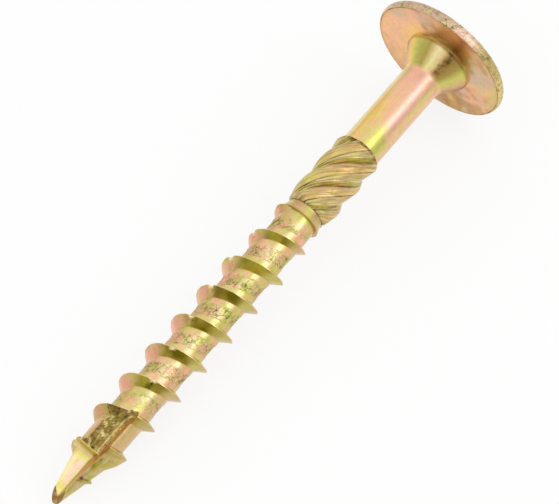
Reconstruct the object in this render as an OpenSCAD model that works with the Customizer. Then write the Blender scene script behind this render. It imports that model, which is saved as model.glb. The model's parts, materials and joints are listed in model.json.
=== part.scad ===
// Washer head wood screw with a notched point, a coarse thread, a shank cutter and a six-lobe drive.
// Its own axis z runs from the tip to the head, and x faces the point notch.
// It is laid down on its head rim and a thread crest, with its axis along +X towards the head.

/* [Head] */
// Length from the underside of the head to the tip
length = 80; // [74:1:120]
// Diameter of the washer head
head_d = 19.9; // [16:0.1:24]
// Rounding radius of the head's rim
rim_r = 1.1; // [0.8:0.05:1.4]
// Height of the rim's widest line above the underside
rim_h = 0.6; // [0.3:0.05:0.7]
// Height that the crown would have without its flat land
crown_h = 3.4; // [3:0.05:4.2]
// Diameter of the flat land around the drive recess
land_d = 9; // [8:0.1:11]

/* [Collar under the head] */
// Diameter of the conical collar at its edge
cone_d = 9.7; // [8.6:0.1:12]
// Length of the conical collar
cone_len = 3; // [2:0.1:4]
// Depth of the collar's edge below the underside
cone_step = 0.45; // [0.2:0.05:0.8]

/* [Drive recess] */
// Diameter across the lobes of the recess
drive_d = 6.75; // [5:0.05:7.2]
// Diameter across the hollows between the lobes
drive_web_d = 4.85; // [3.8:0.05:5.2]
// Radius of the hollows between the lobes
drive_hollow_r = 1.4; // [1.1:0.05:1.6]
// Depth of the recess below the land
drive_depth = 3.2; // [2.4:0.1:4]
// Depth of the drill point at the bottom of the recess
drive_point = 0.7; // [0.4:0.1:1]

/* [Shank and cutter] */
// Diameter of the plain shank
shank_d = 5.6; // [5.2:0.1:6.2]
// Diameter over the lobes of the shank cutter
cutter_d = 6.66; // [6.2:0.02:7.4]
// Length of the shank cutter
cutter_len = 11.5; // [8:0.1:14]
// Axial length of one full turn of the cutter's lobes
cutter_lead = 17.4; // [14:0.1:24]
// Number of lobes on the cutter
cutter_lobes = 4; // [4:1:5]
// Distance of each lobe's centre from the axis
cutter_lobe_offset = 1.5; // [1.2:0.05:1.6]
// Diameter of the cutter's core under its lobes
cutter_core_d = 4.8; // [4.2:0.1:5]
// Length of the taper at the upper end of the lobes
cutter_taper = 0.7; // [0.4:0.05:1.2]
// Height of the lobes over the shank where the taper ends
cutter_end_step = 0.15; // [0.1:0.05:0.3]
// Radius of the cutting crease along each lobe
cutter_crease_r = 0.3; // [0.15:0.05:0.45]
// Angle of the crease from the middle of its lobe
cutter_crease_angle = 12; // [-30:1:30]
// Angle of the first lobe at the cutter's lower end
cutter_turn = 36; // [0:1:90]
// Length of the thread's end collar
collar_len = 1.2; // [0.8:0.1:2]
// Diameter of the thread's end collar
collar_d = 6; // [5.7:0.1:6.4]
// Length of the neck between the end collar and the cutter
neck_len = 0.3; // [0.2:0.1:1]

/* [Thread] */
// Diameter over the thread
thread_d = 7.8; // [7:0.1:9]
// Diameter of the core between the threads
core_d = 5.14; // [4.6:0.02:5.3]
// Axial distance from one crest to the next
pitch = 5.22; // [4.4:0.02:6]
// Distance from the tip to the collar that ends the thread
thread_len = 49.6; // [40:0.2:56]
// Distance from the tip to the start of the thread
thread_start = 2.4; // [1.8:0.1:4]
// Angle at which the thread starts, counted from the notch's face
thread_turn = -82; // [-180:1:180]
// Axial width of the thread's flank towards the tip
tip_flank = 1; // [0.6:0.05:1.4]
// Axial width of the thread's flank towards the head
head_flank = 0.45; // [0.3:0.05:0.8]
// Width of the thread's crest
crest_w = 0.12; // [0.08:0.02:0.3]
// Length over which the thread grows to its full height
lead_in = 14; // [8:0.5:18]
// Length over which the thread dies away
run_out = 8.5; // [4:0.5:12]
// Share of its height that the thread has lost where it ends
run_out_loss = 0.4; // [0.2:0.05:0.7]
// Length over which the last of the thread sinks into the collar
end_fade = 0.6; // [0.4:0.1:2]

/* [Point] */
// Length of the tapered point
point_len = 8.6; // [7:0.1:12]
// Diameter of the blunt tip
tip_d = 1.36; // [0.8:0.02:1.6]
// Angle of the chisel face across the tip
chisel_angle = 49; // [35:1:60]
// Distance of the chisel face's end from the axis
chisel_offset = 0.5; // [0.2:0.05:0.6]

/* [Point notch] */
// Height of the notch's lower floor over the axis
tip_floor = 0; // [-0.2:0.05:0.4]
// Length of the notch's lower floor from the tip
tip_floor_len = 7.8; // [5:0.1:9]
// Radius of the hollow between the lower floor and the step
step_hollow_r = 1; // [0.5:0.05:1.1]
// Height of the notch's upper floor over the axis
upper_floor = 1.7; // [1.2:0.05:2]
// Distance from the tip to the end of the upper floor
upper_floor_end = 13.2; // [10:0.1:18]
// Angle at which the upper floor runs out to the surface
run_out_angle = 21; // [15:1:45]
// Distance of the notch's wall from the axis at the axis's own height
wall_offset = 0.12; // [0:0.02:0.3]
// Angle of the notch's wall away from upright
wall_angle = 10; // [5:1:20]

/* [Resting] */
// Angle by which the notch is rolled from straight up
roll = 21.4; // [-60:0.2:60]

/* [Hidden] */
$fn = 96;

// Points round one turn of the thread, round each lobe circle and slices along the cutter
turn_steps = 44;
lobe_steps = 28;
crease_steps = 16;
cutter_slices = 24;
hollow_steps = 6;
// Reach of the cutting shapes past the surface that they cut
over = 1;

// Radii
head_r = head_d / 2;
shank_r = shank_d / 2;
core_r = core_d / 2;
tip_r = tip_d / 2;
reach = thread_d / 2 + over;

// Places along the axis
neck_z = thread_len + collar_len;
cutter_z = neck_z + neck_len;
shank_z = cutter_z + cutter_len;
cone_end_z = length - cone_step;
cone_z = cone_end_z - cone_len;
rim_z = length + rim_h;

// The crown is an arc about the axis that runs smoothly into the rim's rounding
rim_centre_r = head_r - rim_r;
crown_rise = crown_h - rim_h;
crown_r = (pow(rim_centre_r, 2) + pow(crown_rise, 2) - pow(rim_r, 2)) / (2 * (crown_rise - rim_r));
crown_z = length + crown_h - crown_r;
land_z = crown_z + sqrt(pow(crown_r, 2) - pow(land_d / 2, 2));

// Rows of thread sections, one for each step along the helix, up to the body's end inside the collar
thread_h = thread_d / 2 - core_r;
body_end_z = thread_len + 0.75 * collar_len;
last_row = floor((body_end_z - head_flank - thread_start) / pitch * turn_steps);
last_crest_z = crest_z(last_row);
section_points = 4;
point_rows = section_points * (last_row + 1);

function crest_z(row) = thread_start + pitch * row / turn_steps;
function row_angle(row) = thread_turn + 360 * row / turn_steps;
function unit(value) = max(0, min(1, value));

// Radius of the tapered point and the core
function body_r(z) = tip_r + (core_r - tip_r) * unit(z / point_len);

// Share of the full thread height at a crest: a soft start at the point and a blunt end in the collar
function growth(z) = 1 - pow(1 - unit((z - thread_start) / lead_in), 2);
function decline(z) = 1 - run_out_loss * sqrt(unit(1 - (last_crest_z - z) / run_out));
function fade(z) = unit((last_crest_z - z) / end_fade);
function share(z) = growth(z) * decline(z) * fade(z);
function crest_r(row) = body_r(crest_z(row)) + thread_h * share(crest_z(row));

// Four points of a thread section, from the flank towards the tip to the one towards the head
function flank_share(row) = 0.35 + 0.65 * share(crest_z(row));
function section_z(row) = [
    crest_z(row) - crest_w / 2 - tip_flank * flank_share(row),
    crest_z(row) - crest_w / 2,
    crest_z(row) + crest_w / 2,
    crest_z(row) + crest_w / 2 + head_flank * flank_share(row)
];
function section_r(row, z) = [body_r(z[0]), crest_r(row), crest_r(row), body_r(z[3])];
function around(r, angle, z) = [r * cos(angle), r * sin(angle), z];
function section(row, z) = [
    for (i = [0 : section_points - 1]) around(section_r(row, z)[i], row_angle(row), z[i])
];
function ring(r, z, first_row) = [for (i = [0 : turn_steps - 1]) around(r, row_angle(first_row + i), z)];

// Numbers of the points in the threaded body
function at(row, i) = section_points * row + i;
function tip_at(i) = point_rows + i % turn_steps;
function end_at(i) = point_rows + turn_steps + i % turn_steps;
function quad(a, b, c, d) = [[a, b, c], [a, c, d]];
function fan(hub, edge) = [for (i = [0 : len(edge) - 2]) [hub, edge[i], edge[i + 1]]];
function flat(lists) = [for (list = lists) for (item = list) item];

// Tilt at which a point of the thread and the rim's rounding touch one plane
function touch_tilt(r, z) =
    atan2(rim_centre_r - r, rim_z - z) + asin(rim_r / norm([rim_centre_r - r, rim_z - z]));
down_angle = 180 - roll;
lie_tilt = min([
    for (row = [0 : last_row]) touch_tilt(crest_r(row) * cos(row_angle(row) - down_angle), crest_z(row))
]);
axis_h = rim_centre_r * cos(lie_tilt) - rim_z * sin(lie_tilt) + rim_r;
lie_length = land_z * cos(lie_tilt) + land_d / 2 * sin(lie_tilt);

// Core, tapered point and thread in one closed body that follows the helix
module threaded_body() {
    points = concat(
        flat([for (row = [0 : last_row]) section(row, section_z(row))]),
        ring(tip_r, 0, 0),
        ring(core_r, body_end_z, last_row)
    );
    top_row = last_row - turn_steps;
    ridge = [
        for (row = [0 : last_row - 1]) for (i = [0 : section_points - 2])
            each quad(at(row, i), at(row, i + 1), at(row + 1, i + 1), at(row + 1, i))
    ];
    root = [
        for (row = [0 : top_row - 1])
            each quad(at(row, 3), at(row + turn_steps, 0), at(row + turn_steps + 1, 0), at(row + 1, 3))
    ];
    lower = [
        for (row = [0 : turn_steps - 2])
            each quad(tip_at(row), at(row, 0), at(row + 1, 0), tip_at(row + 1))
    ];
    lower_seam = fan(at(turn_steps - 1, 0), [
        at(turn_steps, 0), at(0, 3), at(0, 2), at(0, 1), at(0, 0), tip_at(0), tip_at(turn_steps - 1)
    ]);
    upper = [
        for (row = [1 : turn_steps - 1])
            each quad(at(top_row + row, 3), end_at(row), end_at(row + 1), at(top_row + row + 1, 3))
    ];
    upper_seam = fan(at(top_row + 1, 3), [
        at(top_row, 3), at(last_row, 0), at(last_row, 1), at(last_row, 2), at(last_row, 3), end_at(0), end_at(1)
    ]);
    tip_face = [[for (i = [0 : turn_steps - 1]) tip_at(i)]];
    end_face = [[for (i = [turn_steps - 1 : -1 : 0]) end_at(i)]];
    polyhedron(
        points,
        concat(ridge, root, lower, lower_seam, upper, upper_seam, tip_face, end_face),
        convexity = 20
    );
}

// Twisted lobes that widen the hole for the shank, each with a crease that cuts
module shank_cutter() {
    lobe_r = cutter_d / 2 - cutter_lobe_offset;
    end_r = shank_r + cutter_end_step;
    taper_slope = (cutter_d / 2 - end_r) / cutter_taper;
    difference() {
        translate([0, 0, cutter_z])
            linear_extrude(cutter_len, twist = -360 * cutter_len / cutter_lead, slices = cutter_slices)
                difference() {
                    for (i = [0 : cutter_lobes - 1])
                        rotate(cutter_turn + 360 * i / cutter_lobes)
                            translate([cutter_lobe_offset, 0])
                                circle(lobe_r, $fn = lobe_steps);
                    for (i = [0 : cutter_lobes - 1])
                        rotate(cutter_turn + cutter_crease_angle + 360 * i / cutter_lobes)
                            translate([cutter_d / 2, 0])
                                circle(cutter_crease_r, $fn = crease_steps);
                }
        rotate_extrude()
            polygon([
                [cutter_d, shank_z - (cutter_d - end_r) / taper_slope],
                [end_r - taper_slope * over, shank_z + over],
                [cutter_d, shank_z + over]
            ]);
    }
}

// Half section of the end collar, neck, shank and conical collar
module shaft_section() {
    polygon([
        [0, thread_len],
        [collar_d / 2, thread_len],
        [core_r, neck_z],
        [core_r, cutter_z],
        [cutter_core_d / 2, cutter_z],
        [cutter_core_d / 2, shank_z],
        [shank_r, shank_z],
        [shank_r, cone_z],
        [cone_d / 2, cone_end_z],
        [cone_d / 2, length],
        [0, length]
    ]);
}

// Half section of the washer head: flat underside, round rim, crown and flat land
module head_section() {
    intersection() {
        translate([0, length])
            square([head_r, land_z - length]);
        union() {
            translate([rim_centre_r, rim_z])
                circle(rim_r);
            translate([0, length])
                square([rim_centre_r, rim_h]);
            intersection() {
                translate([0, crown_z])
                    circle(crown_r);
                polygon([[0, crown_z], [rim_centre_r, rim_z] * 2 - [0, crown_z], [0, rim_z * 2]]);
            }
        }
    }
}

// Six-lobe recess with a drilled bottom
module drive_recess() {
    floor_z = land_z - drive_depth;
    translate([0, 0, floor_z])
        linear_extrude(drive_depth + over)
            difference() {
                circle(d = drive_d);
                for (i = [0 : 5])
                    rotate(60 * i)
                        translate([drive_web_d / 2 + drive_hollow_r, 0])
                            circle(drive_hollow_r);
            }
    translate([0, 0, floor_z - drive_point])
        cylinder(h = drive_point, d1 = 0, d2 = drive_web_d);
}

// Stepped notch of the self-cutting point: two floors, a run-out and one wall beside them
module point_notch() {
    run_out_z = upper_floor_end + (reach - upper_floor) / tan(run_out_angle);
    hollow = [
        for (i = [0 : hollow_steps])
            [tip_floor, tip_floor_len]
                + step_hollow_r * [1 - cos(90 * i / hollow_steps), sin(90 * i / hollow_steps) - 1]
    ];
    intersection() {
        translate([0, reach, 0])
            rotate([90, 0, 0])
                linear_extrude(2 * reach)
                    polygon(concat([[tip_floor, -over]], hollow, [
                        [upper_floor, tip_floor_len],
                        [upper_floor, upper_floor_end],
                        [reach, run_out_z],
                        [reach, -over]
                    ]));
        translate([0, wall_offset, -over])
            rotate(wall_angle)
                translate([-reach, -3 * reach, 0])
                    cube([3 * reach, 3 * reach, run_out_z + 2 * over]);
    }
}

// Slanted face across the end of the point
module tip_chisel() {
    translate([0, chisel_offset, 0])
        rotate([-chisel_angle, 0, 0])
            translate([-reach, -2 * reach, -reach])
                cube([2 * reach, 3 * reach, reach]);
}

module screw() {
    color([0.85, 0.72, 0.42])
        translate([-lie_length / 2, 0, axis_h])
            rotate([0, 90 - lie_tilt, 0])
                rotate(180 + roll)
                    union() {
                        difference() {
                            threaded_body();
                            point_notch();
                            tip_chisel();
                        }
                        shank_cutter();
                        difference() {
                            rotate_extrude() {
                                shaft_section();
                                head_section();
                            }
                            drive_recess();
                        }
                    }
}

screw();
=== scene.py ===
import bpy
import bmesh
import json
from math import asin, atan2, cos, degrees, exp, hypot, pi, radians, sin, sqrt, tan
from mathutils import Matrix, Quaternion, Vector, noise


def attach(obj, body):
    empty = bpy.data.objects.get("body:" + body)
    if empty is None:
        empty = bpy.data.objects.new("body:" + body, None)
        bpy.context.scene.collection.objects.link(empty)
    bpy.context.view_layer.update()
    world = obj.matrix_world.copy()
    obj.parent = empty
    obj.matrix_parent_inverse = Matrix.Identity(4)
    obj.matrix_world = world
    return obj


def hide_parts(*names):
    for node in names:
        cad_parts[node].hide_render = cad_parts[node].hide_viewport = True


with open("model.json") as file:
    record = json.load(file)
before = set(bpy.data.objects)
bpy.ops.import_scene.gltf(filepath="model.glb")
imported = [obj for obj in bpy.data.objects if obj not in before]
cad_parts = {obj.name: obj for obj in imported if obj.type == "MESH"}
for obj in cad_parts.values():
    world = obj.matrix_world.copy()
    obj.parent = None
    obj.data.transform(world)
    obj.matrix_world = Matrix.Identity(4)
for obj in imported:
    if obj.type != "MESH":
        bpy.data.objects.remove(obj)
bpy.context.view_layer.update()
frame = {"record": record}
scene = bpy.context.scene
scene.view_settings.view_transform = "Standard"
print("frame loaded")

# the camera looks down on the lying screw from its tip's side
camSet = {
    "target": (0.00295, -0.00071, 0.00637), "turn": -142.35, "up": 56.182, "away": 0.3977, "roll": 0.418,
    "lens": 199.03, "sensor": 36.0, "clip": 10.0,
}
camData = bpy.data.cameras.new("shotCamera")
camData.lens = camSet["lens"]
camData.sensor_width = camSet["sensor"]
camData.clip_end = camSet["clip"]
cam = bpy.data.objects.new("shotCamera", camData)
scene.collection.objects.link(cam)
turn, up = radians(camSet["turn"]), radians(camSet["up"])
lookDir = -Vector((cos(up) * cos(turn), cos(up) * sin(turn), sin(up)))
cam.location = Vector(camSet["target"]) - lookDir * camSet["away"]
rolled = Quaternion((0, 0, 1), radians(camSet["roll"]))
cam.rotation_euler = (lookDir.to_track_quat("-Z", "Y") @ rolled).to_euler()
scene.camera = cam
print("camera set")

# where the screw lies: its own z runs from tip to head, its own x faces the notch, in mm
lieSet = {"landZ": 82.9914, "roll": 21.4, "mm": 0.001}
socket = [m for m in frame["record"]["mounts"] if m["name"] == "drive_socket"][0]
axisDir = Vector(socket["axis"]).normalized()
lean = atan2(axisDir.z, axisDir.x)
tipAt = Vector(socket["pos_m"]) - axisDir * (lieSet["landZ"] * lieSet["mm"])
turnDown = Matrix.Rotation(pi / 2 - lean, 4, "Y") @ Matrix.Rotation(pi + radians(lieSet["roll"]), 4, "Z")
layDown = Matrix.Translation(tipAt) @ turnDown @ Matrix.Scale(lieSet["mm"], 4)

parts = {"thread": 1, "notch": 2, "shaft": 3, "drive": 4, "cutter": 5}  # marks on the faces
hair = 0.001  # slack for points that lie right on a limit


def unit(x):
    return max(0.0, min(1.0, x))


def bump(x, width):
    return exp(-(x / width) ** 2)


def turnGap(a, b):  # shortest way from b to a, in degrees
    return (a - b + 180) % 360 - 180


def near(angle, at, width):  # 1 at one angle round the axis, fading to both sides
    return bump(turnGap(angle, at), width)


def closeEnds(bm):  # caps every open loop
    openEdges = [e for e in bm.edges if len(e.link_faces) == 1]
    bmesh.ops.edgeloop_fill(bm, edges=openEdges)


def cutAt(bm, point, normal, drop=True):
    everything = bm.verts[:] + bm.edges[:] + bm.faces[:]
    bmesh.ops.bisect_plane(bm, geom=everything, dist=hair / 10, plane_co=point, plane_no=normal,
                           clear_outer=drop)


def chain(bm, points):
    verts = [bm.verts.new(p) for p in points]
    return verts, [bm.edges.new(pair) for pair in zip(verts, verts[1:])]


def asObject(bm, name, part):  # the part's mark stays on its faces through the joins that follow
    bmesh.ops.recalc_face_normals(bm, faces=bm.faces)
    mark = bm.faces.layers.int.new("part")
    for f in bm.faces:
        f[mark] = parts[part]
    loose = sum(1 for e in bm.edges if not e.is_manifold)
    print(name, len(bm.faces), "faces", loose, "open edges", round(bm.calc_volume(signed=True), 1), "mm3")
    mesh = bpy.data.meshes.new(name)
    bm.to_mesh(mesh)
    bm.free()
    obj = bpy.data.objects.new(name, mesh)
    scene.collection.objects.link(obj)
    return obj


def combine(base, other, how):
    mod = base.modifiers.new("combine", "BOOLEAN")
    mod.operation = how
    mod.solver = "MANIFOLD"
    mod.object = other
    bpy.context.view_layer.update()
    graph = bpy.context.evaluated_depsgraph_get()
    result = bpy.data.meshes.new_from_object(base.evaluated_get(graph))
    base.modifiers.clear()
    base.data = result
    bpy.data.objects.remove(other)
    print("combined", base.name, how, len(result.polygons), "faces")


threadSet = {
    "pitch": 5.22, "coreR": 2.57, "crestR": 3.878, "tipFlank": 1.0, "headFlank": 0.45, "crestW": 0.12,
    "start": 2.4, "startAngle": -82.0, "leadIn": 14.0, "runOut": 8.5, "runOutLoss": 0.4, "endFade": 0.6,
    "lastCrest": 49.973, "bodyEnd": 50.5, "pointLen": 8.6, "tipR": 0.68, "turns": 11, "steps": 120,
    "cuts": (12, 9, 1, 5, 16), "lowWidth": 0.35, "sway": 0.03, "chip": 0.035, "deepChip": 0.05, "wave": 0.012,
    # rough strip along each valley
    "bandMid": 2.34, "bandHalf": 0.95, "bandEdge": 0.12, "bandDepth": 0.08, "bandRagged": 0.16,
    "bandLump": 0.02, "bandFrom": 12, "bandGrow": 6, "bandTill": 48.6, "bandFade": 1.5, "flakeGap": 0.09,
    "flakeDepth": 0.06,
    # row of nicks in the crests
    "nickFrom": 17, "nickTill": 46, "nickZ": 20.0, "nickAngle": -9.0, "nickTurn": -3.06, "nickWidth": 5.5,
    "nickDepth": 0.34, "nickLip": 0.1,
    # long flank beside the notch, and the slanted tip face
    "spurFrom": 8.4, "spurTill": 11.6, "spurAngle": 88.0, "spurWidth": 36.0, "spurLen": 2.9, "spurAhead": 1.2,
    "chiselZ": 0.86, "chiselOut": (1.15, -0.85, -1.0),
}


def bodyR(z):
    return threadSet["tipR"] + (threadSet["coreR"] - threadSet["tipR"]) * unit(z / threadSet["pointLen"])


def threadShare(z):
    t = threadSet
    grown = 1 - (1 - unit((z - t["start"]) / t["leadIn"])) ** 2
    left = t["lastCrest"] - z
    return grown * (1 - t["runOutLoss"] * sqrt(unit(1 - left / t["runOut"]))) * unit(left / t["endFade"])


def crestNear(angle, z):  # height of the nearest crest at this angle round the axis
    t = threadSet
    turn = (angle - t["startAngle"]) / 360
    return t["start"] + t["pitch"] * (turn + round((z - t["start"]) / t["pitch"] - turn))


def nickAt(angle, crestZ):  # row of small nicks that climbs against the thread
    t = threadSet
    if not t["nickFrom"] < crestZ < t["nickTill"]:
        return 0.0
    return near(angle, t["nickAngle"] + t["nickTurn"] * (crestZ - t["nickZ"]), t["nickWidth"])


def bandAt(angle, z, edgeWidth):  # 1 in the rough strip along the middle of each valley
    t = threadSet
    away = z - crestNear(angle, z - t["bandMid"]) - t["bandMid"]
    edge = t["bandHalf"] + t["bandRagged"] * noise.noise(Vector((angle * 0.09, z * 0.7, 3.0)))
    grown, left = unit((z - t["bandFrom"]) / t["bandGrow"]), unit((t["bandTill"] - z) / t["bandFade"])
    return unit((edge - abs(away)) / edgeWidth + 0.5) * grown * left


def flakeAt(co):  # ragged cracks between flattened flakes
    gaps = noise.voronoi(Vector((co.x * 0.9, co.y * 0.9, co.z * 0.75)))[0]
    crack = unit(1 - (gaps[1] - gaps[0]) / threadSet["flakeGap"])
    return crack * unit(0.5 + 1.6 * noise.noise(co * 0.8 + Vector((4, 1, 7))))


def spurAt(angle, z):  # long flank of the crest that the notch ends in
    t = threadSet
    crestZ = crestNear(angle, z + t["spurAhead"])
    if not t["spurFrom"] < crestZ < t["spurTill"] or z > crestZ:
        return 0.0
    grown = unit(1 - (crestZ - z) / t["spurLen"]) * near(angle, t["spurAngle"], t["spurWidth"])
    return bodyR(z) + grown * (t["crestR"] - t["coreR"]) * threadShare(crestZ)


def makeThread():
    t = threadSet
    bm = bmesh.new()
    half, crest, high = t["pitch"] / 2, t["crestW"] / 2, t["crestR"]
    keys = [(t["coreR"], -half), (t["coreR"], -crest - t["tipFlank"]), (high, -crest), (high, crest),
            (t["coreR"], crest + t["headFlank"]), (t["coreR"], half)]
    edges = chain(bm, [(r, 0, z + t["start"] - t["pitch"]) for r, z in keys])[1]
    for edge, cuts in zip(edges, t["cuts"]):
        bmesh.ops.subdivide_edges(bm, edges=[edge], cuts=cuts)
    bmesh.ops.rotate(bm, verts=bm.verts, matrix=Matrix.Rotation(radians(t["startAngle"]), 3, "Z"))
    bmesh.ops.spin(bm, geom=bm.verts[:] + bm.edges[:], axis=(0, 0, 1), dvec=(0, 0, t["pitch"] / t["steps"]),
                   angle=2 * pi, steps=t["steps"])
    oneTurn = bm.verts[:] + bm.edges[:] + bm.faces[:]
    for turn in range(1, t["turns"]):
        copied = bmesh.ops.duplicate(bm, geom=oneTurn)["geom"]
        moved = [g for g in copied if isinstance(g, bmesh.types.BMVert)]
        bmesh.ops.translate(bm, verts=moved, vec=(0, 0, turn * t["pitch"]))
    bmesh.ops.remove_doubles(bm, verts=bm.verts, dist=5 * hair)
    cutAt(bm, (0, 0, 0), (0, 0, -1))
    cutAt(bm, (0, 0, t["bodyEnd"]), (0, 0, 1))
    closeEnds(bm)
    for v in bm.verts:
        z, angle, r = v.co.z, degrees(atan2(v.co.y, v.co.x)), hypot(v.co.x, v.co.y)
        crestZ = crestNear(angle, z)
        share = threadShare(crestZ)
        height = (r - t["coreR"]) / (t["crestR"] - t["coreR"])
        ridge = -crest - t["tipFlank"] - hair < z - crestZ < crest + t["headFlank"] + hair
        if ridge and share > 0:
            z = crestZ + (z - crestZ) * (t["lowWidth"] + (1 - t["lowWidth"]) * share)
            nick = nickAt(angle, crestZ)
            share *= 1 - t["nickDepth"] * nick * (1 + 0.6 * noise.noise(v.co * 3.1))
            dent = min(0.0, noise.noise(v.co * 4.3 + Vector((9, 2, 5))) + 0.25)
            chip = t["chip"] * noise.noise(v.co * 1.7) + t["deepChip"] * dent
            rise = max(0.0, height)
            rNew = bodyR(z) + rise * (t["crestR"] - t["coreR"]) * share + chip * rise
            lip = t["nickLip"] * nick * (1 + noise.noise(v.co * 2.9))
            z += (t["sway"] * noise.noise(v.co * 2.3) + lip) * height
        else:
            band = bandAt(angle, z, t["bandEdge"])
            rNew = bodyR(z) - band * (t["bandDepth"] + t["flakeDepth"] * flakeAt(v.co))
            wave = t["wave"] * noise.noise(v.co * 1.4) * unit(z / 4)
            rNew += t["bandLump"] * band * noise.noise(v.co * 2.6) + wave
        rNew = max(rNew, spurAt(angle, z))
        onEnd = v.co.z < hair or v.co.z > t["bodyEnd"] - hair
        v.co = (rNew * cos(radians(angle)), rNew * sin(radians(angle)), v.co.z if onEnd else z)
    # slanted face across the tip
    cutAt(bm, (0, 0, t["chiselZ"]), t["chiselOut"])
    closeEnds(bm)
    return asObject(bm, "threadBody", "thread")


notchSet = {
    "tipFloor": 0.0, "tipFloorLen": 7.8, "hollowR": 0.7, "hollowSteps": 8, "upperFloor": 1.7, "upperEnd": 13.2,
    "runOutAngle": 21.0, "runOutSlant": 0.74, "slantFrom": 2, "slantGrow": 3, "slantTill": 2.4,
    "wallOffset": 0.1, "wallLean": 0.2, "edgeFrom": 1.35, "edgeLean": 0.5, "edgeTill": 2.6, "wallRough": 0.02,
    "reach": 4.9, "below": 1.0, "rough": 0.12, "cell": 0.16, "netWidth": 3.4, "wallCuts": (0.45, 0.9, 2.1, 3.3),
}


def wallAt(x):  # the wall leans back, more so along its edge
    n = notchSet
    x = min(x, n["edgeTill"])
    more = (n["edgeLean"] - n["wallLean"]) * max(0.0, x - n["edgeFrom"])
    return n["wallOffset"] + n["wallLean"] * max(0.0, x) + more


def makeNotch():
    n = notchSet
    bm = bmesh.new()
    reach, runOut = n["reach"], tan(radians(n["runOutAngle"]))
    top = n["upperEnd"] + (reach - n["upperFloor"]) / runOut
    riseZ = n["tipFloorLen"] - n["hollowR"]
    rise = bm.verts.new((n["tipFloor"], 0, riseZ))
    bmesh.ops.spin(bm, geom=[rise], cent=(n["tipFloor"] + n["hollowR"], 0, riseZ), axis=(0, 1, 0),
                   angle=pi / 2, steps=n["hollowSteps"])
    last = max(bm.verts, key=lambda v: v.co.z)
    outline = [(n["upperFloor"], n["tipFloorLen"]), (n["upperFloor"], n["upperEnd"]), (reach, top),
               (reach, -n["below"]), (n["tipFloor"], -n["below"])]
    ring = [bm.verts.new((x, 0, z)) for x, z in outline]
    for pair in zip([last] + ring, ring + [rise]):
        bm.edges.new(pair)
    closed = bmesh.ops.contextual_create(bm, geom=bm.edges[:])["faces"]
    side = bmesh.ops.extrude_face_region(bm, geom=closed)["geom"]
    bmesh.ops.translate(bm, verts=[g for g in side if isinstance(g, bmesh.types.BMVert)], vec=(0, -reach, 0))
    # a fine net, which is then roughened and leant back at the wall
    for i in range(1, int(n["netWidth"] / n["cell"])):
        cutAt(bm, (0, -i * n["cell"], 0), (0, 1, 0), False)
    for i in range(int((top + n["below"]) / n["cell"])):
        cutAt(bm, (0, 0, i * n["cell"] - 0.9), (0, 0, 1), False)
    for x in sorted((*n["wallCuts"], n["edgeFrom"], n["upperFloor"] + 0.02, n["edgeTill"])):
        cutAt(bm, (x, 0, 0), (1, 0, 0), False)
    for v in bm.verts:
        upper = abs(v.co.x - n["upperFloor"]) < hair and v.co.z > n["tipFloorLen"] + 0.05
        slopeZ = n["upperEnd"] + (v.co.x - n["upperFloor"]) / runOut
        slope = v.co.z > n["upperEnd"] + 0.05 and abs(slopeZ - v.co.z) < 10 * hair
        grain = noise.noise(v.co * 2.2) + 0.7 * noise.noise(v.co * 5.0 + Vector((3, 8, 1)))
        if v.co.z > n["tipFloorLen"] + 0.2:
            slanted = unit((v.co.z - n["tipFloorLen"] - n["slantFrom"]) / n["slantGrow"])
            v.co.z += n["runOutSlant"] * max(-n["slantTill"], v.co.y) * slanted
        v.co.y += wallAt(v.co.x) + n["wallRough"] * grain
        if (upper or slope) and v.co.x < reach - 0.1:
            v.co.x += n["rough"] * grain * unit((v.co.z - n["tipFloorLen"]) / 0.5)
    return asObject(bm, "notchTool", "notch")


shaftSet = {
    "collarZ": 49.6, "collarR": 3.0, "neckZ": 50.8, "cutterZ": 51.1, "cutterCoreR": 2.4, "shankZ": 62.6,
    "shankR": 2.8, "coneZ": 76.55, "coneEndZ": 79.55, "coneR": 4.85, "length": 80.0, "headR": 9.944,
    "rimR": 1.1, "rimH": 0.6, "rimSteps": 14, "crownH": 3.4, "crownSteps": 16, "landR": 4.5,
    "edgeR": 9.64, "edgeDip": 0.07, "segments": 144,
    # cuts along the collar, shank, cone, underside and land
    "cuts": (5, 34, 10, 18, 6),
}


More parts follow.
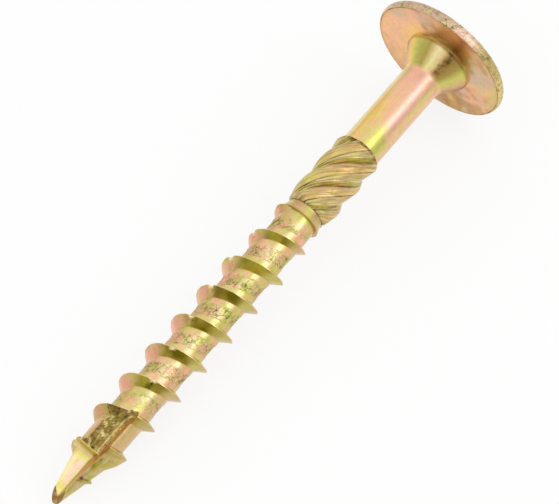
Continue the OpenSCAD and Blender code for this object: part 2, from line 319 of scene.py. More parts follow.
def makeShaft():
    s = shaftSet
    bm = bmesh.new()
    rimMid, rimZ = s["headR"] - s["rimR"], s["length"] + s["rimH"]
    rise = s["crownH"] - s["rimH"]
    crownR = (rimMid ** 2 + rise ** 2 - s["rimR"] ** 2) / (2 * (rise - s["rimR"]))
    crownZ = s["length"] + s["crownH"] - crownR
    coreR, underZ = threadSet["coreR"], s["length"]
    low = [(0, s["collarZ"]), (s["collarR"] - 0.06, s["collarZ"]), (s["collarR"], s["collarZ"] + 0.07),
           (coreR + 0.02, s["neckZ"]), (coreR, s["cutterZ"]), (s["cutterCoreR"], s["cutterZ"]),
           (s["cutterCoreR"], s["shankZ"]), (s["shankR"], s["shankZ"]), (s["shankR"], s["coneZ"] - 0.5),
           (s["shankR"] + 0.06, s["coneZ"]), (s["coneR"] - 0.12, s["coneEndZ"] - 0.16),
           (s["coneR"], s["coneEndZ"] + 0.05), (s["coneR"], underZ), (s["edgeR"] - 0.05, underZ),
           (s["edgeR"], underZ + s["edgeDip"]), (s["edgeR"] + 0.06, underZ)]
    verts, edges = chain(bm, [(r, 0, z) for r, z in low])
    # rim and crown are arcs, spun from one point each
    startUp = asin(s["rimH"] / s["rimR"])
    tangent = atan2(rimZ - crownZ, rimMid)
    rimStart = bm.verts.new((rimMid + s["rimR"] * cos(startUp), 0, s["length"]))
    bm.edges.new((verts[-1], rimStart))
    swept = bmesh.ops.spin(bm, geom=[rimStart], cent=(rimMid, 0, rimZ), axis=(0, -1, 0),
                           angle=startUp + tangent, steps=s["rimSteps"])
    rimEnd = [g for g in swept["geom_last"] if isinstance(g, bmesh.types.BMVert)][0]
    landUp = pi / 2 - asin(s["landR"] / crownR)
    swept = bmesh.ops.spin(bm, geom=[rimEnd], cent=(0, 0, crownZ), axis=(0, -1, 0),
                           angle=landUp - tangent, steps=s["crownSteps"])
    landEdge = [g for g in swept["geom_last"] if isinstance(g, bmesh.types.BMVert)][0]
    landZ = landEdge.co.z
    land = bm.edges.new((landEdge, bm.verts.new((0, 0, landZ))))
    for edge, cuts in zip((edges[2], edges[7], edges[9], edges[12], land), s["cuts"]):
        bmesh.ops.subdivide_edges(bm, edges=[edge], cuts=cuts)
    bmesh.ops.spin(bm, geom=bm.verts[:] + bm.edges[:], axis=(0, 0, 1), angle=2 * pi,
                   steps=s["segments"], use_merge=True)
    bmesh.ops.remove_doubles(bm, verts=bm.verts, dist=2 * hair)
    return asObject(bm, "shaftAndHead", "shaft"), landZ


driveSet = {
    "lobeR": 3.375, "hollowAt": 3.825, "hollowR": 1.4, "depth": 3.2, "point": 0.7, "flare": 0.12,
    "corners": 144,
}


def makeDrive(landZ):
    d = driveSet
    bm = bmesh.new()
    bmesh.ops.create_circle(bm, segments=d["corners"], radius=1.0)
    for v in bm.verts:
        turn = radians((degrees(atan2(v.co.y, v.co.x)) + 30) % 60 - 30)
        under = d["hollowR"] ** 2 - (d["hollowAt"] * sin(turn)) ** 2
        v.co *= min(d["lobeR"], d["hollowAt"] * cos(turn) - sqrt(under)) if under > 0 else d["lobeR"]
    bmesh.ops.smooth_vert(bm, verts=bm.verts, factor=0.5, use_axis_x=True, use_axis_y=True)
    floorZ = landZ - d["depth"]
    bmesh.ops.translate(bm, verts=bm.verts, vec=(0, 0, floorZ))
    base = bm.edges[:]
    # rings up the wall to a flared mouth, then rings across the floor to its point
    wall = (0, landZ - d["flare"]), (3 * d["flare"], landZ + 2 * d["flare"])
    bottom = (-0.5, floorZ), (-9, floorZ - d["point"])
    for steps in (wall, bottom):
        ring = base
        for grow, z in steps:
            grown = bmesh.ops.extrude_edge_only(bm, edges=ring)["geom"]
            ring = [g for g in grown if isinstance(g, bmesh.types.BMEdge)]
            for v in [g for g in grown if isinstance(g, bmesh.types.BMVert)]:
                wider = max(0, 1 + grow / hypot(v.co.x, v.co.y))
                v.co = (v.co.x * wider, v.co.y * wider, z)
    bmesh.ops.remove_doubles(bm, verts=bm.verts, dist=hair)
    closeEnds(bm)
    return asObject(bm, "driveTool", "drive")


cutterSet = {
    "z": 51.1, "len": 11.5, "lead": 17.4, "lobes": 4, "finAngle": -9.0, "steps": 70, "cuts": 2, "topR": 3.33,
    "taper": 0.7, "endR": 2.95, "endRough": 0.05, "lowTaper": 0.75, "lowR": 2.66,
    "finWidth": 2.0, "finLift": 0.05, "finRough": 0.06, "wave": 0.012,
    # degrees back from the fin edge, radius
    "lobe": [(0, 2.84), (4, 2.86), (10, 2.96), (20, 3.09), (30, 3.18), (34, 3.15), (37, 3.26), (45, 3.33),
             (54, 3.3), (60, 3.2), (68, 2.98), (76, 2.74), (83, 2.54), (87, 2.5), (89, 2.56)],
}


def finAngleAt(z):
    return cutterSet["finAngle"] + 360 * (z - cutterSet["z"]) / cutterSet["lead"]


def makeCutter():
    c = cutterSet
    bm = bmesh.new()
    points = []
    for lobe in range(c["lobes"]):
        for back, r in c["lobe"]:
            a = radians(c["finAngle"] + 360 / c["lobes"] * lobe - back)
            points.append((-a, (r * cos(a), r * sin(a), c["z"])))
    points.sort(key=lambda p: p[0] % (2 * pi))
    verts = chain(bm, [p for _, p in points])[0]
    bm.edges.new((verts[-1], verts[0]))
    bmesh.ops.subdivide_edges(bm, edges=bm.edges[:], cuts=c["cuts"])
    bmesh.ops.spin(bm, geom=bm.verts[:] + bm.edges[:], axis=(0, 0, 1), dvec=(0, 0, c["len"] / c["steps"]),
                   angle=2 * pi * c["len"] / c["lead"], steps=c["steps"])
    top = c["z"] + c["len"]
    slope, lowSlope = (c["topR"] - c["endR"]) / c["taper"], (c["topR"] - c["lowR"]) / c["lowTaper"]
    for v in bm.verts:
        r = hypot(v.co.x, v.co.y)
        away = turnGap(degrees(atan2(v.co.y, v.co.x)), finAngleAt(v.co.z)) % (360 / c["lobes"])
        fin = bump(away, c["finWidth"]) * (c["finLift"] + c["finRough"] * noise.noise(v.co * 2.5))
        rNew = r + fin + c["wave"] * noise.noise(v.co * 1.8)
        highEnd = c["endR"] + slope * (top - v.co.z) + c["endRough"] * noise.noise(v.co * 1.3)
        lowEnd = c["lowR"] + lowSlope * (v.co.z - c["z"])
        rNew = min(rNew, highEnd, c["topR"], lowEnd)
        v.co.x *= rNew / r
        v.co.y *= rNew / r
    closeEnds(bm)
    return asObject(bm, "shankCutter", "cutter")


shaft, landZ = makeShaft()
combine(shaft, makeDrive(landZ), "DIFFERENCE")
combine(shaft, makeCutter(), "UNION")
screw = makeThread()
combine(screw, makeNotch(), "DIFFERENCE")
combine(screw, shaft, "UNION")
screw.name = "platedScrew"
print("screw in one piece")

# tints of the film, as seen in 0 to 255
tints = {
    "apricot": (250, 190, 147), "salmon": (240, 180, 144), "rose": (248, 194, 165), "petal": (242, 188, 180),
    "pink": (238, 160, 150), "blush": (246, 214, 190), "peach": (246, 206, 152), "gold": (250, 208, 118),
    "straw": (230, 204, 144), "cream": (244, 228, 172), "yellow": (234, 224, 130), "lime": (208, 204, 112),
    "leaf": (172, 164, 54), "khaki": (202, 182, 116), "sand": (218, 182, 128), "lilac": (214, 186, 156),
    "olive": (174, 154, 78), "moss": (114, 104, 22), "bronze": (178, 132, 78), "clay": (216, 164, 116),
    # soil is the dark tint used for both soil and painted shade
    "umber": (140, 108, 62), "soilAndShade": (62, 48, 20),
}
tints = {name: Vector(rgb) for name, rgb in tints.items()}

# which tint lies where, by angle round the axis or by angle behind a lobe's edge
filmSet = {
    # on the flanks, the olive from -30 to 18 degrees is a painted darker reflection
    "flank": [(-180, "sand"), (-105, "rose"), (-80, "sand"), (-64, "sand"), (-48, "khaki"), (-30, "olive"),
              (0, "olive"), (18, "olive"), (34, "khaki"), (54, "khaki"), (72, "lilac"), (100, "blush"),
              (130, "sand")],
    "root": [(-180, "straw"), (-95, "sand"), (-50, "sand"), (-28, "straw"), (-8, "straw"), (8, "cream"),
             (24, "peach"), (50, "sand"), (72, "lilac"), (100, "sand"), (140, "yellow")],
    "band": [(-180, "yellow"), (-95, "sand"), (-50, "sand"), (-28, "sand"), (-8, "cream"), (10, "cream"),
             (28, "straw"), (52, "khaki"), (74, "lilac"), (110, "sand"), (140, "lime")],
    "shankLow": [(-180, "sand"), (-110, "yellow"), (-72, "cream"), (-50, "gold"), (-30, "straw"),
                 (-10, "yellow"), (10, "lime"), (30, "lime"), (48, "straw"), (66, "rose"), (110, "salmon"),
                 (145, "yellow")],
    "shankHigh": [(-180, "cream"), (-110, "salmon"), (-74, "cream"), (-52, "peach"), (-30, "rose"),
                  (-10, "rose"), (10, "petal"), (30, "rose"), (50, "straw"), (68, "rose"), (110, "cream"),
                  (145, "salmon")],
    # on the cone, the cream near -12 degrees is a painted highlight
    "cone": [(-180, "gold"), (-92, "sand"), (-70, "gold"), (-50, "lime"), (-30, "olive"), (-12, "cream"),
             (0, "straw"), (10, "bronze"), (30, "olive"), (46, "lime"), (70, "sand"), (92, "bronze"),
             (140, "gold")],
    "collar": [(-180, "cream"), (-80, "straw"), (-50, "sand"), (-20, "sand"), (10, "yellow"), (30, "sand"),
               (50, "khaki"), (75, "straw"), (120, "salmon")],
    # on the underside, the bronze from -14 to 14 degrees is a painted reflection of the cone
    "under": [(-180, "clay"), (-140, "salmon"), (-105, "apricot"), (-60, "apricot"), (-36, "salmon"),
              (-14, "bronze"), (14, "bronze"), (38, "lilac"), (75, "lilac"), (105, "salmon"), (135, "bronze"),
              (165, "bronze")],
    "rim": [(-180, "salmon"), (-90, "blush"), (-55, "lilac"), (-25, "lilac"), (-8, "blush"), (10, "blush"),
            (28, "khaki"), (60, "straw"), (90, "straw"), (130, "sand")],
    "lobe": [(0, "cream"), (5, "straw"), (14, "khaki"), (30, "sand"), (44, "sand"), (54, "sand"), (62, "sand"),
             (72, "khaki"), (80, "lime"), (87, "straw")],
}


def fromTable(name, value, span=360.0):
    table = filmSet[name]
    stops = table + [(table[0][0] + span, table[0][1])]
    value = (value - table[0][0]) % span + table[0][0]
    for (a, low), (b, high) in zip(stops, stops[1:]):
        if value <= b:
            return tints[low].lerp(tints[high], (value - a) / (b - a))


def toward(colour, name, share):
    return colour.lerp(tints[name], unit(share))


def shimmer(colour, swing, strength):  # the film turns rose one way and green the other
    return toward(toward(colour, "rose", strength * swing), "lime", -strength * swing)


# each paint function below gives a tint, a share of soil and painted shade, and a share of roughness;
# slow, mid and fine are noises of three sizes
headFilm = {
    "underFacing": -0.8, "underRough": 0.12, "patchScale": 0.3,
    "shade": 0.16, "shadeAngle": 4, "shadeWidth": 24, "shadeR": 5.4, "shadeReach": 1.7,
    "rimWidth": 2.4, "rimFacing": 0.94, "rimRough": 1.0, "dipWidth": 0.05, "rimDipShade": 0.7, "speckSoil": 0.4,
    "topRough": 0.3,
}


def paintHead(co, no, r, angle, slow, mid, fine):
    s, h = shaftSet, headFilm
    if no.z < h["underFacing"]:
        colour = fromTable("under", angle + 22 * slow + 45 * mid)
        colour = toward(colour, "salmon", 0.75 * near(angle, 0, 50) * unit((r - 6.4) / 2.2))
        patch = noise.noise(Vector((co.x * h["patchScale"], co.y * h["patchScale"], 3.0)))
        colour = toward(shimmer(colour, slow + mid, 0.3), "gold", 1.1 * patch)
        colour = toward(colour, "lilac", -1.3 * patch)
        colour = toward(colour, "lime", 0.6 * near(angle, 76, 22) * unit((r - 8.2) / 1.2))
        colour = toward(colour, "clay", 0.5 * unit((r - 9.1) / 0.5))  # towards the rim
        # painted shade: a darker ring on the underside beside the cone, where the cone is reflected
        shade = h["shade"] * near(angle, h["shadeAngle"], h["shadeWidth"])
        return colour, shade * bump(r - h["shadeR"], h["shadeReach"]), h["underRough"]
    if r > s["headR"] - h["rimWidth"] and no.z < h["rimFacing"]:
        colour = shimmer(fromTable("rim", angle + 10 * slow), mid + fine, 0.35)
        # painted shade in the groove between underside and rim, strongest near angle 0
        dipShade = bump(r - s["edgeR"], h["dipWidth"]) if co.z < s["length"] + 0.1 else 0.0
        soilAndShade = h["rimDipShade"] * dipShade * unit(0.5 + 1.5 * mid + 0.4 * cos(radians(angle)))
        return colour, soilAndShade + h["speckSoil"] * unit(1.8 * fine - 0.1), h["rimRough"]
    colour = tints["sand"].lerp(tints["yellow"], unit(0.5 + slow))
    return shimmer(colour, slow + mid, 0.6), 0.0, h["topRough"]


coneFilm = {"streakAngle": 14, "streakWidth": 11, "edgeAngle": -2, "edgeWidth": 48, "edgeShade": 0.5}


def paintCone(co, angle, slow, mid, fine):
    s, c, z = shaftSet, coneFilm, co.z
    colour = shimmer(fromTable("cone", angle + 8 * slow), mid, 0.25)
    streak = near(angle, c["streakAngle"] + 8 * slow, c["streakWidth"]) * unit((z - s["coneZ"]) / 0.5)
    # painted shadow along the cone's top edge, under the head, on the side near angle -2
    edge = unit((z - s["coneEndZ"] + 0.1) / 0.15) * near(angle, c["edgeAngle"], c["edgeWidth"])
    soilAndShade = streak * (0.2 + 0.5 * unit(0.3 + 2 * fine)) + c["edgeShade"] * edge
    return colour, soilAndShade, 0.2 + 0.6 * streak


shankFilm = {
    "turnZ": 64.4, "turnLean": 0.03, "turnLen": 2.6, "soilAndShade": 0.03, "rough": 0.1,
    # tint, share, angle, its wander and width, place along the screw, its reach
    "spots": [("gold", 0.85, -42, 0, 22, 68.2, 2.4), ("lime", 0.7, 24, 6, 16, 63.6, 2.2),
              ("yellow", 0.25, 46, 0, 18, 72.5, 2.6)],
}


def paintShank(co, angle, slow, mid):
    s = shankFilm
    low, high = fromTable("shankLow", angle + 16 * slow), fromTable("shankHigh", angle + 24 * slow)
    past = co.z - s["turnZ"] + angle * s["turnLean"] + 3 * slow + 1.6 * mid
    colour = low.lerp(high, unit(past / s["turnLen"]))
    for name, share, at, wander, width, spotZ, reach in s["spots"]:
        colour = toward(colour, name, share * near(angle, at + wander * mid, width) * bump(co.z - spotZ, reach))
    return shimmer(colour, mid, 0.3), s["soilAndShade"], s["rough"]


collarFilm = {
    "lineUnder": 0.06, "lineWidth": 0.14, "lineSoil": 0.55, "footLen": 0.12, "footSoilAndShade": 0.25, "rough": 0.15,
}


def paintShaft(co, no, r, angle, slow, mid, fine):
    s, z = shaftSet, co.z
    if z > s["length"] - 0.01:
        return paintHead(co, no, r, angle, slow, mid, fine)
    if z > s["shankZ"] - 0.01:
        colour, soilAndShade, rough = paintShank(co, angle, slow, mid)
        coneShare = unit((z - s["coneZ"] + 0.5) / 0.7)
        if coneShare > 0:
            coneColour, coneSoilAndShade, coneRough = paintCone(co, angle, slow, mid, fine)
            return colour.lerp(coneColour, coneShare), coneSoilAndShade * coneShare, coneRough
        return colour, soilAndShade, rough
    if z < s["cutterZ"] + 0.02:
        c = collarFilm
        line = bump(z - s["cutterZ"] + c["lineUnder"], c["lineWidth"]) * unit(0.75 + mid)
        # painted shade at the collar's foot, under the end of the thread
        foot = unit(1 - (z - s["collarZ"]) / c["footLen"])
        colour = shimmer(fromTable("collar", angle), mid, 0.5)
        return colour, c["lineSoil"] * line + c["footSoilAndShade"] * foot, c["rough"]
    return tints["umber"], 0.3, 0.3  # core between the lobes


# places are degrees behind a lobe's edge
cutterFilm = {
    "crease": 22, "creaseSwing": 18, "creaseShade": 0.8, "groove": 69, "grooveShade": 0.6, "darkWidth": 2.2,
    "highlightBefore": 5, "highlightLine": 63, "paleWidth": 3, "hollow": 75, "finLine": 4, "finWidth": 1.6,
    "finShade": 0.45, "grainSoil": 0.9, "endLen": 0.5, "endShade": 0.75, "footLen": 0.3, "footSoilAndShade": 0.4,
    "rough": 0.3,
}


def paintCutter(co, angle, slow, mid, fine):
    c, p, span = cutterSet, cutterFilm, 360 / cutterSet["lobes"]
    turned = finAngleAt(co.z) - angle
    back = turned % span
    finGap = (back + span / 2) % span - span / 2
    grain = noise.noise(Vector((back * 0.3, co.z * 0.4, round((turned - back) / span) * 7.0)))
    crease = p["crease"] + p["creaseSwing"] * sin(radians(angle))
    colour = shimmer(fromTable("lobe", back + 4 * mid, span), slow + mid, 0.3)
    colour = toward(colour, "gold", 0.5 * bump(back - crease - 9, 7))
    colour = toward(colour, "yellow", 0.8 * near(angle, -60, 22) * unit(0.4 + 2 * mid))
    # painted shade in the hollow behind each lobe
    colour = toward(colour, "umber", 0.7 * bump(back - p["hollow"], 5) * near(angle, -35, 40))
    # painted highlights: pale lines beside the crease and further back on each lobe
    pale = bump(back - crease + p["highlightBefore"], p["paleWidth"])
    pale = max(pale, bump(back - p["highlightLine"], p["paleWidth"]))
    colour = toward(colour, "cream", max(0.9 * unit(-2.2 * grain - 0.3), 0.7 * pale))
    # painted dark reflection along the crease, and painted shade in the groove
    soilAndShade = 0.06 + p["creaseShade"] * bump(back - crease, p["darkWidth"]) * unit(0.8 + mid)
    soilAndShade += p["grooveShade"] * bump(back - p["groove"], p["darkWidth"]) * unit(0.8 + mid)
    soilAndShade += p["grainSoil"] * unit(grain - 0.12)
    # painted shade beside each fin edge
    soilAndShade += p["finShade"] * bump(finGap - p["finLine"], p["finWidth"])
    # both ends of the cutter: painted shade at the high end on the side near -8 degrees, and a darker foot at
    # the low end
    past = unit((co.z - c["z"] - c["len"] + p["endLen"]) / 0.2)
    soilAndShade += p["endShade"] * past * near(angle, -8, 60) * unit(0.6 + 1.5 * fine)
    soilAndShade += p["footSoilAndShade"] * unit(1 - (co.z - c["z"]) / p["footLen"]) * unit(0.6 + mid)
    return colour, unit(soilAndShade), p["rough"]


notchFilm = {
    "wallFacing": -0.8, "wallRough": 0.2, "cornerWidth": 0.1, "cornerShade": 0.5, "floorRough": 0.15,
    "stepShade": 0.25, "stepRough": 0.1, "upperRough": 0.8,
    "streakFrom": 0.22, "paleZ": 10.3, "paleWidth": 0.3, "endZ": 15.2,
    "bandWidth": 0.34, "bandEdge": 0.1, "lineAt": 0.44, "lineWidth": 0.1,
}


def paintNotch(co, no, slow, mid, fine):
    n, p, z = notchSet, notchFilm, co.z
    grain = noise.noise(Vector((co.x * 2, co.y * 5, z * 0.6)))
    gap = wallAt(co.x) - co.y
    # painted shade: a mask along the corner at the wall's foot
    corner = bump(0.02 - gap, p["cornerWidth"])
    if no.y < p["wallFacing"]:
        colour = tints["straw"].lerp(tints["clay"], unit((z - 2.5) / 3)).lerp(tints["cream"], unit((z - 8) / 2))
        return colour, 0.2 * unit(mid) * unit((10 - z) / 2), p["wallRough"]
    if z < n["tipFloorLen"] - n["hollowR"] + 0.05 and abs(co.x) < 0.1:  # lower floor
        colour = toward(tints["cream"], "blush", 1.4 * bump(co.y + 0.6, 0.5) * unit(0.7 + 1.4 * slow + mid))
        colour = toward(colour, "yellow", unit(1.5 * grain) + bump(z - 1.9, 0.6) + unit((z - 6.2) / 0.8))
        colour = toward(colour, "khaki", unit((-1.7 - co.y) / 0.7) + 0.8 * unit(1.5 - z))
        # painted shade in the corner at the wall's foot
        soilAndShade = p["cornerShade"] * corner + 0.3 * unit(1.3 - z) + 0.12 * unit(grain)
        return colour, soilAndShade, p["floorRough"]
    if z < n["tipFloorLen"] + 0.05:  # hollow step
        colour = toward(toward(tints["cream"], "yellow", 0.2 + mid), "straw", unit((0.8 - co.x) / 0.3))
        # painted shade in the step's corner
        return colour, p["stepShade"] * corner, p["stepRough"]
    streak = unit((noise.noise(Vector((co.y * 3.2 + z * 1.2, z * 1.0, 2.0))) - p["streakFrom"]) * 5)
    worn = 0.85 * bump(z - p["paleZ"], p["paleWidth"]) * unit(0.6 + 2 * mid)
    pale = max(streak * 0.8, worn, 0.3 * unit((z - p["endZ"]) / 0.6))
    colour = toward(tints["umber"], "olive", 0.5 + 0.9 * mid)
    # painted shade deeper in the notch, towards its high end
    deepShade = 0.35 * unit((z - 12.4) / 1.5) * unit((-0.7 - co.y) / 0.5)
    soilAndShade = (0.04 + 0.95 * unit(grain + 0.9 * fine) + deepShade) * (1 - pale)
    band = unit((p["bandWidth"] - gap) / p["bandEdge"])  # along the wall's foot
    colour = toward(colour, "cream", max(pale, 0.8 * bump(gap - p["lineAt"], p["lineWidth"])))
    colour = toward(colour, "bronze", band)
    return colour, unit(soilAndShade) * (1 - 0.8 * band), p["upperRough"] - 0.6 * band


threadFilm = {
    "tipTill": 2.4, "tipFacing": 0.97, "ridgeFrom": 0.06, "ridgeGrow": 0.2, "tipZ": 18, "tipFade": 5,
    "pitFrom": 3, "pitTill": 9, "pitAway": 0.3, "pitWidth": 0.28, "flankFacing": -0.3, "flankFrom": 0.04,
    "shadeAngle": -8, "shadeWidth": 34, "pinkAngle": -76, "leafAngle": -84, "nickDeep": 0.42, "nickHigh": 0.1,
    "bandEdge": 0.34, "soilEdge": 0.12, "roughEdge": 0.3, "flakeSoil": 0.6, "pointTill": 9.4, "pointFade": 1.5,
    "pointAngle": 30, "pointWidth": 45,
}


def paintThread(co, no, r, angle, slow, mid, fine):
    t, p, z = threadSet, threadFilm, co.z
    if z < p["tipTill"] and no.dot(Vector(t["chiselOut"]).normalized()) > p["tipFacing"]:
        return toward(tints["bronze"], "straw", 1.8 * fine), 0.15 + 0.6 * unit(mid + fine), 0.6
    crestZ = crestNear(angle, z)
    over = r - bodyR(z)
    onRidge = unit((over - p["ridgeFrom"]) / p["ridgeGrow"])
    topGap = (t["crestR"] - t["coreR"]) * threadShare(crestZ) - over
    nick = nickAt(angle, crestZ) * unit(1 - (topGap - p["nickDeep"]) / 0.2)
    nick *= unit(2 - abs(z - crestZ - p["nickHigh"]) / 0.26) * onRidge
    nearTip = unit((p["tipZ"] - z) / p["tipFade"])
    pit = 0.0
    if p["pitFrom"] < z < p["pitTill"] and co.x > 0:  # dark pits along the notch's edge
        away = co.y - wallAt(co.x) - p["pitAway"]
        ragged = unit(0.35 + 1.6 * noise.noise(Vector((z * 1.1, co.y, 4.0))))
        pit = bump(away, p["pitWidth"]) * ragged * unit((z - p["pitFrom"]) / 0.8)
    if no.z < p["flankFacing"] and over > p["flankFrom"] and z < crestZ + 0.2:  # flanks that face the tip
        patch = noise.noise(Vector((angle * 0.035, crestZ * 1.3, r * 0.7)))
        shade = near(angle, p["shadeAngle"], p["shadeWidth"])
        colour = shimmer(fromTable("flank", angle + 10 * slow), slow + patch, 0.8 * (1 - shade))
        middle = bump(topGap - 0.75, 0.7) * unit(0.8 + patch)
        colour = toward(colour, "pink", near(angle, p["pinkAngle"] + 12 * slow, 24) * middle)
        edge = unit(1 - topGap / 0.3) * unit(0.6 + 2 * mid)
        colour = toward(colour, "leaf", 0.7 * near(angle, p["leafAngle"], 30) * edge)
        # painted shade: the flanks turn moss-dark where they show a darker reflection
        colour = toward(colour, "moss", shade * (0.4 + 1.7 * patch))
        colour = toward(colour, "leaf", shade * (0.3 - 1.7 * patch))
        colour = toward(colour, "olive", 0.4 * nearTip)
        soilAndShade = 0.5 * pit
    else:
        band = bandAt(angle, z, p["bandEdge"]) * (1 - onRidge)
        colour = fromTable("root", angle + 16 * slow).lerp(fromTable("band", angle + 16 * slow), band)
        colour = shimmer(colour, slow + 1.6 * mid + 0.6 * fine, 0.7)
        colour = toward(colour, "salmon", 0.75 * unit(2 * mid - 0.25) * unit(abs(angle) / 40))
        colour = toward(colour, "khaki", 0.4 * nearTip * near(angle, 45, 40))
        flakes = 0.02 + p["flakeSoil"] * flakeAt(co)
        soilAndShade = bandAt(angle, z, p["soilEdge"]) * (1 - onRidge) * flakes + 0.85 * pit
        # patches on the bare point beside the notch
        point = unit((p["pointTill"] - z) / p["pointFade"]) * near(angle, p["pointAngle"], p["pointWidth"])
        colour = toward(colour, "khaki", 0.9 * point)
        colour = toward(colour, "leaf", point * unit(-2.4 * mid - 0.1))
        colour = toward(colour, "lilac", point * unit(2.4 * mid + (angle - 40) / 40))
        colour = toward(colour, "lime", point * 1.4 * unit(slow + 1.2 * fine))
        soilAndShade += 0.3 * point * unit(1.5 * fine)
    strip = bandAt(angle, z, p["roughEdge"]) if over < 0.08 else 0.0
    return toward(colour, "cream", 1.8 * nick), unit(soilAndShade) * (1 - nick), 0.3 + 0.7 * strip * (1 - nick)


def paint(part, co, no, slow, mid, fine):
    r, angle = hypot(co.x, co.y), degrees(atan2(co.y, co.x))
    if part == parts["thread"]:
        return paintThread(co, no, r, angle, slow, mid, fine)
    if part == parts["notch"]:
        return paintNotch(co, no, slow, mid, fine)
    if part == parts["shaft"]:
        return paintShaft(co, no, r, angle, slow, mid, fine)
    if part == parts["cutter"]:
        return paintCutter(co, angle, slow, mid, fine)
    return toward(tints["khaki"], "olive", 0.3 + mid), 0.2, 0.2  # drive recess


def fromScreen(rgb):  # 0 to 255 screen colour as linear light
    return [((c / 255 + 0.055) / 1.055) ** 2.4 if c > 10 else c / 255 / 12.92 for c in rgb] + [1.0]


# scale and offset of the slow, mid and fine noise
driftSet = [(0.23, (0, 0, 0)), (0.8, (5, 3, 8)), (2.3, (1, 9, 4))]
sharpFrom = 34  # degrees between faces
mesh = screw.data
bm = bmesh.new()
bm.from_mesh(mesh)
bmesh.ops.dissolve_degenerate(bm, dist=hair / 2, edges=bm.edges)
bmesh.ops.triangulate(bm, faces=[f for f in bm.faces if len(f.verts) > 4])
bm.normal_update()
mark = bm.faces.layers.int["part"]
drift = {v: [noise.noise(v.co * scale + Vector(off)) for scale, off in driftSet] for v in bm.verts}
filmLayer = bm.loops.layers.float_color.new("film")
soilAndShadeLayer, roughLayer = bm.loops.layers.float.new("soilAndShade"), bm.loops.layers.float.new("rough")
for f in bm.faces:
    f.smooth = True
    for corner in f.loops:
        vert = corner.vert
        colour, corner[soilAndShadeLayer], corner[roughLayer] = paint(f[mark], vert.co, f.normal, *drift[vert])
        corner[filmLayer] = fromScreen(colour)
bm.to_mesh(mesh)
bm.free()
mesh.set_sharp_from_angle(angle=radians(sharpFrom))
mesh.transform(layDown)
triangles = sum(len(f.vertices) - 2 for f in mesh.polygons)
print("screw painted", len(mesh.polygons), "faces", triangles, "triangles")

finishSet = {
    "hue": [(0.38, (1.0, 0.94, 0.95)), (0.5, (1.0, 1.0, 1.0)), (0.62, (0.93, 0.99, 0.82))],
    "metallic": 1.0, "roughness": (0.24, 0.38), "roughGloss": 0.1, "grain": (0.2, 0.75), "bump": 0.5,
    "bumpDepth": 0.00013, "smoothBump": 0.08, "blotchScale": 900.0, "speckScale": 5000.0, "speckShare": 0.6,
    "streakScale": (650.0, 2600.0, 2600.0), "streakShare": 0.8, "pitFrom": 0.12, "pitGain": 1.8,
    "crackScale": 1300.0, "crackBend": 0.0007, "bendScale": 1400.0, "crackSharp": 15.0, "crackPatch": 4.0,
    "crackFrom": 0.35, "crackGain": 1.3,
}


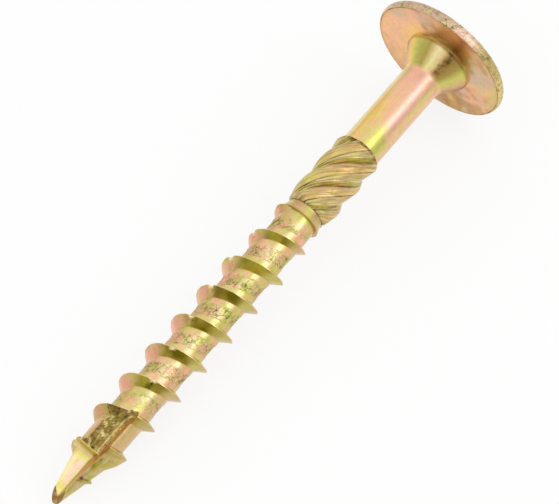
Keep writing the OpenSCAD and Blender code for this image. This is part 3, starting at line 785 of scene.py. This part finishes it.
def makeFinish():
    f = finishSet
    mat = bpy.data.materials.new("yellowPassivation")
    mat.use_nodes = True
    nodes, links = mat.node_tree.nodes, mat.node_tree.links
    shader = nodes["Principled BSDF"]
    shader.inputs["Metallic"].default_value = f["metallic"]

    def node(kind, **settings):
        made = nodes.new(kind)
        for key, value in settings.items():
            setattr(made, key, value)
        return made

    def math(how, a, b, clamp=False):
        made = node("ShaderNodeMath", operation=how, use_clamp=clamp)
        for slot, value in enumerate((a, b)):
            if isinstance(value, (int, float)):
                made.inputs[slot].default_value = value
            else:
                links.new(value, made.inputs[slot])
        return made.outputs[0]

    def noiseAt(scale, detail, vector):
        made = node("ShaderNodeTexNoise")
        made.inputs["Scale"].default_value = scale
        made.inputs["Detail"].default_value = detail
        links.new(vector, made.inputs["Vector"])
        return made.outputs["Fac"]

    def blend(a, b):
        made = node("ShaderNodeMix", data_type="RGBA", blend_type="MULTIPLY")
        made.inputs["Factor"].default_value = 1.0
        links.new(a, made.inputs[6])
        links.new(b, made.inputs[7])
        return made.outputs[2]

    place = node("ShaderNodeTexCoord").outputs["Object"]
    along = node("ShaderNodeMapping")  # stretched along the screw
    along.inputs["Rotation"].default_value = (0, lean, 0)
    along.inputs["Scale"].default_value = f["streakScale"]
    links.new(place, along.inputs["Vector"])
    film = node("ShaderNodeAttribute", attribute_name="film").outputs["Color"]
    soilAndShade = node("ShaderNodeAttribute", attribute_name="soilAndShade").outputs["Fac"]
    rough = node("ShaderNodeAttribute", attribute_name="rough").outputs["Fac"]
    blotch = noiseAt(f["blotchScale"], 3.0, place)
    patches = math("SUBTRACT", blotch, 0.5)
    speck = math("SUBTRACT", noiseAt(f["speckScale"], 2.0, place), 0.5)
    streak = math("SUBTRACT", noiseAt(1.0, 3.0, along.outputs["Vector"]), 0.5)
    grain = math("ADD", math("MULTIPLY", speck, f["speckShare"]), math("MULTIPLY", streak, f["streakShare"]))

    # thin cracks in the rough strips
    bend = node("ShaderNodeTexNoise")
    bend.inputs["Scale"].default_value = f["bendScale"]
    links.new(place, bend.inputs["Vector"])
    bent = node("ShaderNodeVectorMath", operation="MULTIPLY_ADD")
    links.new(bend.outputs["Color"], bent.inputs[0])
    bent.inputs[1].default_value = (f["crackBend"],) * 3
    links.new(place, bent.inputs[2])
    cells = node("ShaderNodeTexVoronoi", feature="DISTANCE_TO_EDGE")
    cells.inputs["Scale"].default_value = f["crackScale"]
    links.new(bent.outputs[0], cells.inputs["Vector"])
    crack = math("SUBTRACT", 1.0, math("MULTIPLY", cells.outputs["Distance"], f["crackSharp"]), True)
    crack = math("MULTIPLY", crack, math("ADD", math("MULTIPLY", patches, f["crackPatch"]), 0.5, True))

    # the film's tint turns a little from place to place, and its grain is lighter and darker
    hue = node("ShaderNodeValToRGB")
    stops = hue.color_ramp.elements
    stops.new(0.5)
    for stop, (at, rgb) in zip(stops, f["hue"]):
        stop.position = at
        stop.color = (*rgb, 1.0)
    links.new(blotch, hue.inputs["Fac"])
    lowGrain, highGrain = f["grain"]
    depth = math("ADD", math("MULTIPLY", rough, highGrain - lowGrain), lowGrain)
    turned = blend(film, hue.outputs["Color"])
    turned = blend(turned, math("ADD", math("MULTIPLY", grain, depth), 1.0))

    # soil and painted shade, with pits and cracks where it is rough
    pits = math("SUBTRACT", math("MULTIPLY", grain, -1.0), f["pitFrom"], True)
    pits = math("MULTIPLY", pits, math("MULTIPLY", rough, f["pitGain"]))
    strip = math("MULTIPLY", math("SUBTRACT", rough, f["crackFrom"], True), f["crackGain"])
    marks = math("ADD", pits, math("MULTIPLY", crack, strip))
    dirt = node("ShaderNodeMix", data_type="RGBA", blend_type="MIX")
    links.new(math("ADD", soilAndShade, marks, True), dirt.inputs["Factor"])
    links.new(turned, dirt.inputs[6])
    dirt.inputs[7].default_value = fromScreen(tints["soilAndShade"])
    links.new(dirt.outputs[2], shader.inputs["Base Color"])

    low, high = f["roughness"]
    gloss = math("ADD", math("MULTIPLY", patches, high - low), (low + high) / 2)
    links.new(math("ADD", gloss, math("MULTIPLY", rough, f["roughGloss"]), True), shader.inputs["Roughness"])
    relief = node("ShaderNodeBump")
    relief.inputs["Strength"].default_value = f["bump"]
    relief.inputs["Distance"].default_value = f["bumpDepth"]
    height = math("ADD", math("MULTIPLY", rough, 1 - f["smoothBump"]), f["smoothBump"])
    links.new(math("MULTIPLY", grain, height), relief.inputs["Height"])
    links.new(relief.outputs["Normal"], shader.inputs["Normal"])
    return mat


screw.data.materials.clear()
screw.data.materials.append(makeFinish())
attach(screw, "root")
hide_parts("screw")
print("finish done")

# pale floor, a soft white room that is darker towards its low edge, and one soft lamp
roomSet = {
    "top": 1.0, "low": 0.68, "lowTill": 0.02, "topFrom": 0.6,
    "floor": (0.93, 0.93, 0.925, 1), "floorSize": 3.0, "floorRough": 0.9, "floorShine": 0.1, "floorLift": 0.82,
    "lampAt": (0.18, -0.37, 0.44), "lampSize": 0.25, "lampPower": 0.28,
}


def makeRoom():
    r = roomSet
    world = bpy.data.worlds.new("softRoom")
    scene.world = world
    world.use_nodes = True
    nodes, links = world.node_tree.nodes, world.node_tree.links
    back = nodes["Background"]
    coords = nodes.new("ShaderNodeTexCoord")
    split = nodes.new("ShaderNodeSeparateXYZ")
    links.new(coords.outputs["Generated"], split.inputs[0])
    fade = nodes.new("ShaderNodeMapRange")
    fade.interpolation_type = "SMOOTHSTEP"
    ends = {"From Min": r["lowTill"], "From Max": r["topFrom"], "To Min": r["low"], "To Max": r["top"]}
    for name, value in ends.items():
        fade.inputs[name].default_value = value
    links.new(split.outputs["Z"], fade.inputs["Value"])
    path = nodes.new("ShaderNodeLightPath")
    seen = nodes.new("ShaderNodeMath")
    seen.operation = "MAXIMUM"
    links.new(fade.outputs[0], seen.inputs[0])
    links.new(path.outputs["Is Camera Ray"], seen.inputs[1])
    links.new(seen.outputs[0], back.inputs["Strength"])
    back.inputs["Color"].default_value = (1, 1, 1, 1)

    bm = bmesh.new()
    bmesh.ops.create_grid(bm, x_segments=1, y_segments=1, size=r["floorSize"])
    floorMesh = bpy.data.meshes.new("paleFloor")
    bm.to_mesh(floorMesh)
    bm.free()
    floor = bpy.data.objects.new("paleFloor", floorMesh)
    scene.collection.objects.link(floor)
    pale = bpy.data.materials.new("palePaint")
    pale.use_nodes = True
    nodes, links = pale.node_tree.nodes, pale.node_tree.links
    matte = nodes["Principled BSDF"]
    matte.inputs["Base Color"].default_value = r["floor"]
    matte.inputs["Roughness"].default_value = r["floorRough"]
    matte.inputs["Specular IOR Level"].default_value = r["floorShine"]
    glow = nodes.new("ShaderNodeEmission")
    path = nodes.new("ShaderNodeLightPath")
    lift = nodes.new("ShaderNodeMath")
    lift.operation = "MULTIPLY"
    lift.inputs[1].default_value = r["floorLift"]
    seen = nodes.new("ShaderNodeMath")
    seen.operation = "MAXIMUM"
    links.new(path.outputs["Is Camera Ray"], seen.inputs[0])
    links.new(path.outputs["Is Glossy Ray"], seen.inputs[1])
    links.new(seen.outputs[0], lift.inputs[0])
    mix = nodes.new("ShaderNodeMixShader")
    links.new(lift.outputs[0], mix.inputs[0])
    links.new(matte.outputs[0], mix.inputs[1])
    links.new(glow.outputs[0], mix.inputs[2])
    links.new(mix.outputs[0], nodes["Material Output"].inputs["Surface"])
    floorMesh.materials.append(pale)

    lampData = bpy.data.lights.new("softLamp", "AREA")
    lampData.energy = r["lampPower"]
    lampData.size = r["lampSize"]
    lamp = bpy.data.objects.new("softLamp", lampData)
    scene.collection.objects.link(lamp)
    lamp.location = r["lampAt"]
    lamp.rotation_euler = (-Vector(r["lampAt"])).to_track_quat("-Z", "Y").to_euler()


makeRoom()
print("room lit")
